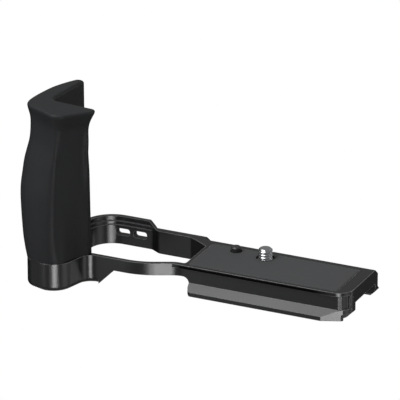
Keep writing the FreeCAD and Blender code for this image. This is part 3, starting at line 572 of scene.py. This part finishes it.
def pad_flat(outline, first, second):
    """Two faces with the holes between them, along the upper and along the lower halves of the loops."""
    half, hole = len(outline) // 2, len(first) // 2
    upper = [*outline[:half + 1], *first[:hole + 1][::-1], *second[:hole + 1][::-1]]
    lower = [*outline[half:], outline[0], second[0], *second[hole:][::-1], first[0], *first[hole:][::-1]]
    return [[int(i) for i in upper], [int(i) for i in lower]]


def pad_skin():
    """Three walls of stacked loops, and the flat faces between them above and below."""
    low, high = (np.array(corner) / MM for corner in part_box("rubber_pad"))
    pin = np.mean(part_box("locating_pin"), axis=0) / MM
    low[:2] -= PAD_SPREAD
    high[:2] += PAD_SPREAD
    walls, height = pad_walls(low, high, pin)
    rows, points, faces, start = len(height), [], [], [0]
    for number, wall in enumerate(walls):
        band = quads(rows, wall.shape[1], start[-1])
        faces += band if number == 0 else [face[::-1] for face in band]
        points.append(stack(wall, height).reshape(-1, 3))
        start.append(start[-1] + len(points[-1]))
    for row, order in ((rows - 1, 1), (0, -1)):
        loops = [start[n] + row * wall.shape[1] + np.arange(wall.shape[1]) for n, wall in enumerate(walls)]
        faces += [face[::order] for face in pad_flat(*loops)]
    return piece("pad_skin", np.concatenate(points) * MM, faces, pad_rubber, "plate", "rubber_pad")


pad_skin()

# %% [markdown]
# ## The camera screw
#
# The quarter-inch thread has 20 turns to the inch. A helix could be swept round the shaft, but then the
# sweep and the shaft would have to be joined. Here the whole screw is one surface over angle and height:
# its radius drops into a groove wherever the height, less the turn, falls between two crests.

# %% The screw's shaft
# Radii and heights from the plate's top, all in millimetres. AXIS is the radius of each closing loop.
PITCH, THREAD, CREST, TIP_CHAMFER = 1.27, 3.175, 0.62, 0.75
HEAD, HEAD_TOP, SHANK, SHANK_TOP = 6.5, -6.0, 3.0, -1.5
NECK, NECK_TOP, RELIEF = 2.3, -0.6, 2.7
AXIS, TIP_FLAT = 0.3, 1.6


def thread_radius(angle, height, top):
    """Radius over angle and height: a V between crests, a flat on each crest, a chamfer at the top."""
    phase = np.mod(height / PITCH - angle / (2 * math.pi), 1.0)
    groove = np.clip(1.15 * (1 - np.abs(2 * phase - 1)) - 0.1, 0, 1)
    return np.minimum(THREAD - CREST * groove, THREAD - TIP_CHAMFER + (top - height))


def screw_loops(low, high, around=72):
    """From the head's foot up: head, shank, neck, relief, thread, and the middle of the tip."""
    plain = np.array([(AXIS, low), (HEAD - 0.6, low), (HEAD - 0.2, low + 0.15), (HEAD, low + 0.5),
                      (HEAD, HEAD_TOP - 0.5), (HEAD - 0.15, HEAD_TOP - 0.1), (HEAD - 0.5, HEAD_TOP),
                      (SHANK, HEAD_TOP), (SHANK, SHANK_TOP), (NECK, SHANK_TOP), (NECK, NECK_TOP),
                      (RELIEF, NECK_TOP), (RELIEF, -0.05)])
    tip = np.array([(TIP_FLAT, high), (AXIS, high)])
    angle = np.linspace(0, 2 * math.pi, around, endpoint=False)
    height = np.linspace(0.0, high, 60)
    turned, capped = (np.broadcast_to(part[:, :1], (len(part), around)) for part in (plain, tip))
    radius = np.concatenate([turned, thread_radius(angle[None, :], height[:, None], high), capped])
    loops = radius[..., None] * np.stack([np.cos(angle), np.sin(angle)], axis=-1)[None]
    return stack(loops, np.concatenate([plain[:, 1], height, tip[:, 1]]))


# %% [markdown]
# ## Its coin slot and its socket
#
# The head is turned by a coin or by the key from the recess. The slot and the hexagon could be worked into
# the loops, but a cut is simpler: the Boolean modifier takes them away, and it is applied at once, so that
# no cutter stays in the scene.

# %% A cut
def cut_away(target, name, loops):
    """A stack of loops, taken away from a piece."""
    mesh = bpy.data.meshes.new(name)
    mesh.from_pydata(loops.reshape(-1, 3).tolist(), [], closed(*loops.shape[:2]))
    cutter = bpy.data.objects.new(name, mesh)
    bpy.context.scene.collection.objects.link(cutter)
    cut = target.modifiers.new(name, "BOOLEAN")
    cut.operation, cut.solver, cut.object = "DIFFERENCE", "EXACT", cutter
    done = bpy.data.meshes.new_from_object(target.evaluated_get(bpy.context.evaluated_depsgraph_get()))
    target.modifiers.remove(cut)
    target.data = done
    bpy.data.objects.remove(cutter)


# %% The screw
SLOT_LONG, SLOT_WIDE, SLOT_DEEP = 14.0, 1.6, 1.4
KEY_FLATS, SOCKET_DEEP = 4.0, 2.2


def screw_skin():
    """The turned screw, less a coin slot and a hexagonal socket."""
    low, high = (corner[2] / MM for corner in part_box("camera_screw"))
    screw = lofted("screw_skin", screw_loops(low, high) * MM, bright, "screw", "camera_screw")
    slot = np.array([(-1, -1), (1, -1), (1, 1), (-1, 1)]) * (SLOT_LONG / 2, SLOT_WIDE / 2)
    hexagon = circle((0.0, 0.0), KEY_FLATS / math.sqrt(3), 6)
    for name, loop, deep in (("coin_slot", slot, SLOT_DEEP), ("socket", hexagon, SOCKET_DEEP)):
        cut_away(screw, name, stack(np.stack([loop, loop]), [low - 1, low + deep]) * MM)
    screw.data.shade_smooth()
    screw.data.set_sharp_from_angle(angle=SHARP)
    print("screw_skin, cut: %d faces" % len(screw.data.polygons))


screw_skin()

# %% [markdown]
# ## The lamps
#
# Black things show their form by what they mirror. A large softbox hangs over the plate, to the left of
# the front, where the dovetail's sloped flank mirrors it as one even grey. A second one, narrow and weak,
# stands at the front left and models the grip.

# %% Softboxes
def softbox(name, way, distance, wide, high, radiance):
    """A lamp in a direction from the plate. Its power is radiance times area times pi."""
    light = bpy.data.lights.new(name, "AREA")
    light.shape = "RECTANGLE"
    light.size, light.size_y = wide, high
    light.energy = radiance * wide * high * math.pi
    lamp = bpy.data.objects.new(name, light)
    lamp.location = Vector(way).normalized() * distance + Vector((-0.02, -0.02, 0.0))
    lamp.rotation_mode = "QUATERNION"
    lamp.rotation_quaternion = (-Vector(way)).to_track_quat("-Z", "Y")
    bpy.context.scene.collection.objects.link(lamp)
    print("lamp", name, "%.1f W" % light.energy)


softbox("overhead", (-0.39, -0.40, 0.84), 1.0, 0.75, 0.75, 3.8)
softbox("left_front", (-0.50, -0.86, 0.02), 1.2, 0.35, 0.9, 1.7)

# %% [markdown]
# ## The table
#
# The photograph has a pure white ground without a shadow. A lit white table would take a shadow, so this
# one glows white to the camera alone. It still throws a soft light up at the object, as paper does. It
# lets mirror directions through to the cards below, and it can't be seen from underneath, so that the
# underside can be looked at too.

# %% The table top
TABLE_HALF, TABLE_GAP = 3.0, 0.2 * MM
level = cad_box[0][2] - TABLE_GAP
floor = bpy.data.meshes.new("floor")
floor.from_pydata([(x * TABLE_HALF, y * TABLE_HALF, level) for x, y in ((-1, -1), (1, -1), (1, 1), (-1, 1))],
                  [], [(0, 1, 2, 3)])
table = bpy.data.objects.new("floor", floor)
bpy.context.scene.collection.objects.link(table)

# %% Its paint
paint = bpy.data.materials.new("white_table")
paint.use_nodes = True
tree = paint.node_tree
matt = tree.nodes["Principled BSDF"]
matt.inputs["Base Color"].default_value = (0.45, 0.45, 0.45, 1)
matt.inputs["Roughness"].default_value = 0.9
white = tree.nodes.new("ShaderNodeEmission").outputs["Emission"]
clear = tree.nodes.new("ShaderNodeBsdfTransparent").outputs["BSDF"]
path = tree.nodes.new("ShaderNodeLightPath")
side = tree.nodes.new("ShaderNodeNewGeometry")
unseen = either(tree, path.outputs["Is Glossy Ray"], matt.outputs["BSDF"], clear)
above = either(tree, path.outputs["Is Camera Ray"], unseen, white)
feed(tree, either(tree, side.outputs["Backfacing"], above, clear),
     tree.nodes["Material Output"].inputs["Surface"])
floor.materials.append(paint)
print("table at %.1f mm" % (level / MM))

# %% [markdown]
# ## The cards
#
# A photographer draws the bright strips on black metal with white cards, and keeps other faces deep with
# black ones. Each card here faces the plate and is seen in reflections only. The low card is mirrored by
# the upright faces that turn towards the camera: the foot's corner, the arm's bend, the lip's end. The
# dark cards keep the ring's inside and the end face deep. The two at the right draw the near corner.

# %% Cards that are seen in reflections only
def card(name, way, distance, wide, high, radiance):
    """A card that faces the plate. It glows, or is black at radiance 0."""
    centre = Vector(way).normalized() * distance
    across = centre.cross(Vector((0, 0, 1))).normalized() * wide / 2
    rise = across.cross(centre).normalized() * high / 2
    mesh = bpy.data.meshes.new(name)
    mesh.from_pydata([centre - across - rise, centre + across - rise, centre + across + rise,
                      centre - across + rise], [], [(0, 1, 2, 3)])
    glow = bpy.data.materials.new(name)
    glow.use_nodes = True
    glow.node_tree.nodes.clear()
    shine = glow.node_tree.nodes.new("ShaderNodeEmission")
    shine.inputs["Strength"].default_value = radiance
    out = glow.node_tree.nodes.new("ShaderNodeOutputMaterial")
    feed(glow.node_tree, shine.outputs["Emission"], out.inputs["Surface"])
    mesh.materials.append(glow)
    board = bpy.data.objects.new(name, mesh)
    bpy.context.scene.collection.objects.link(board)
    board.visible_camera = board.visible_diffuse = board.visible_shadow = False
    print("card", name)


card("low_card", (0.39, -0.84, -0.38), 1.0, 0.34, 0.5, 12.5)
card("dark_left", (-0.93, 0.25, -0.22), 0.9, 1.1, 1.1, 0.0)
card("dark_right", (0.45, 0.85, -0.38), 0.9, 0.9, 0.9, 0.08)
card("right_card", (0.92, -0.15, -0.36), 1.0, 0.5, 0.8, 1.1)
card("right_back", (0.80, 0.60, -0.12), 1.0, 0.3, 0.9, 3.5)

# %% [markdown]
# ## The room
#
# Behind the table the camera has to see white as well, while the object stands in a dim room, or its
# upright faces would turn grey. One world does both: the light path tells the camera's own rays from the
# others.

# %% White to the camera, dim to everything else
DIM = 0.25
world = bpy.data.worlds.new("room")
bpy.context.scene.world = world
world.use_nodes = True
tree = world.node_tree
tree.nodes.clear()
dim, seen = (tree.nodes.new("ShaderNodeBackground") for shade in range(2))
for background, strength in ((dim, DIM), (seen, 1.0)):
    background.inputs["Color"].default_value = (1, 1, 1, 1)
    background.inputs["Strength"].default_value = strength
path = tree.nodes.new("ShaderNodeLightPath")
feed(tree, either(tree, path.outputs["Is Camera Ray"], dim.outputs["Background"], seen.outputs["Background"]),
     tree.nodes.new("ShaderNodeOutputWorld").inputs["Surface"])
bpy.context.scene.view_settings.view_transform = "Standard"
print("room: dim at", DIM)
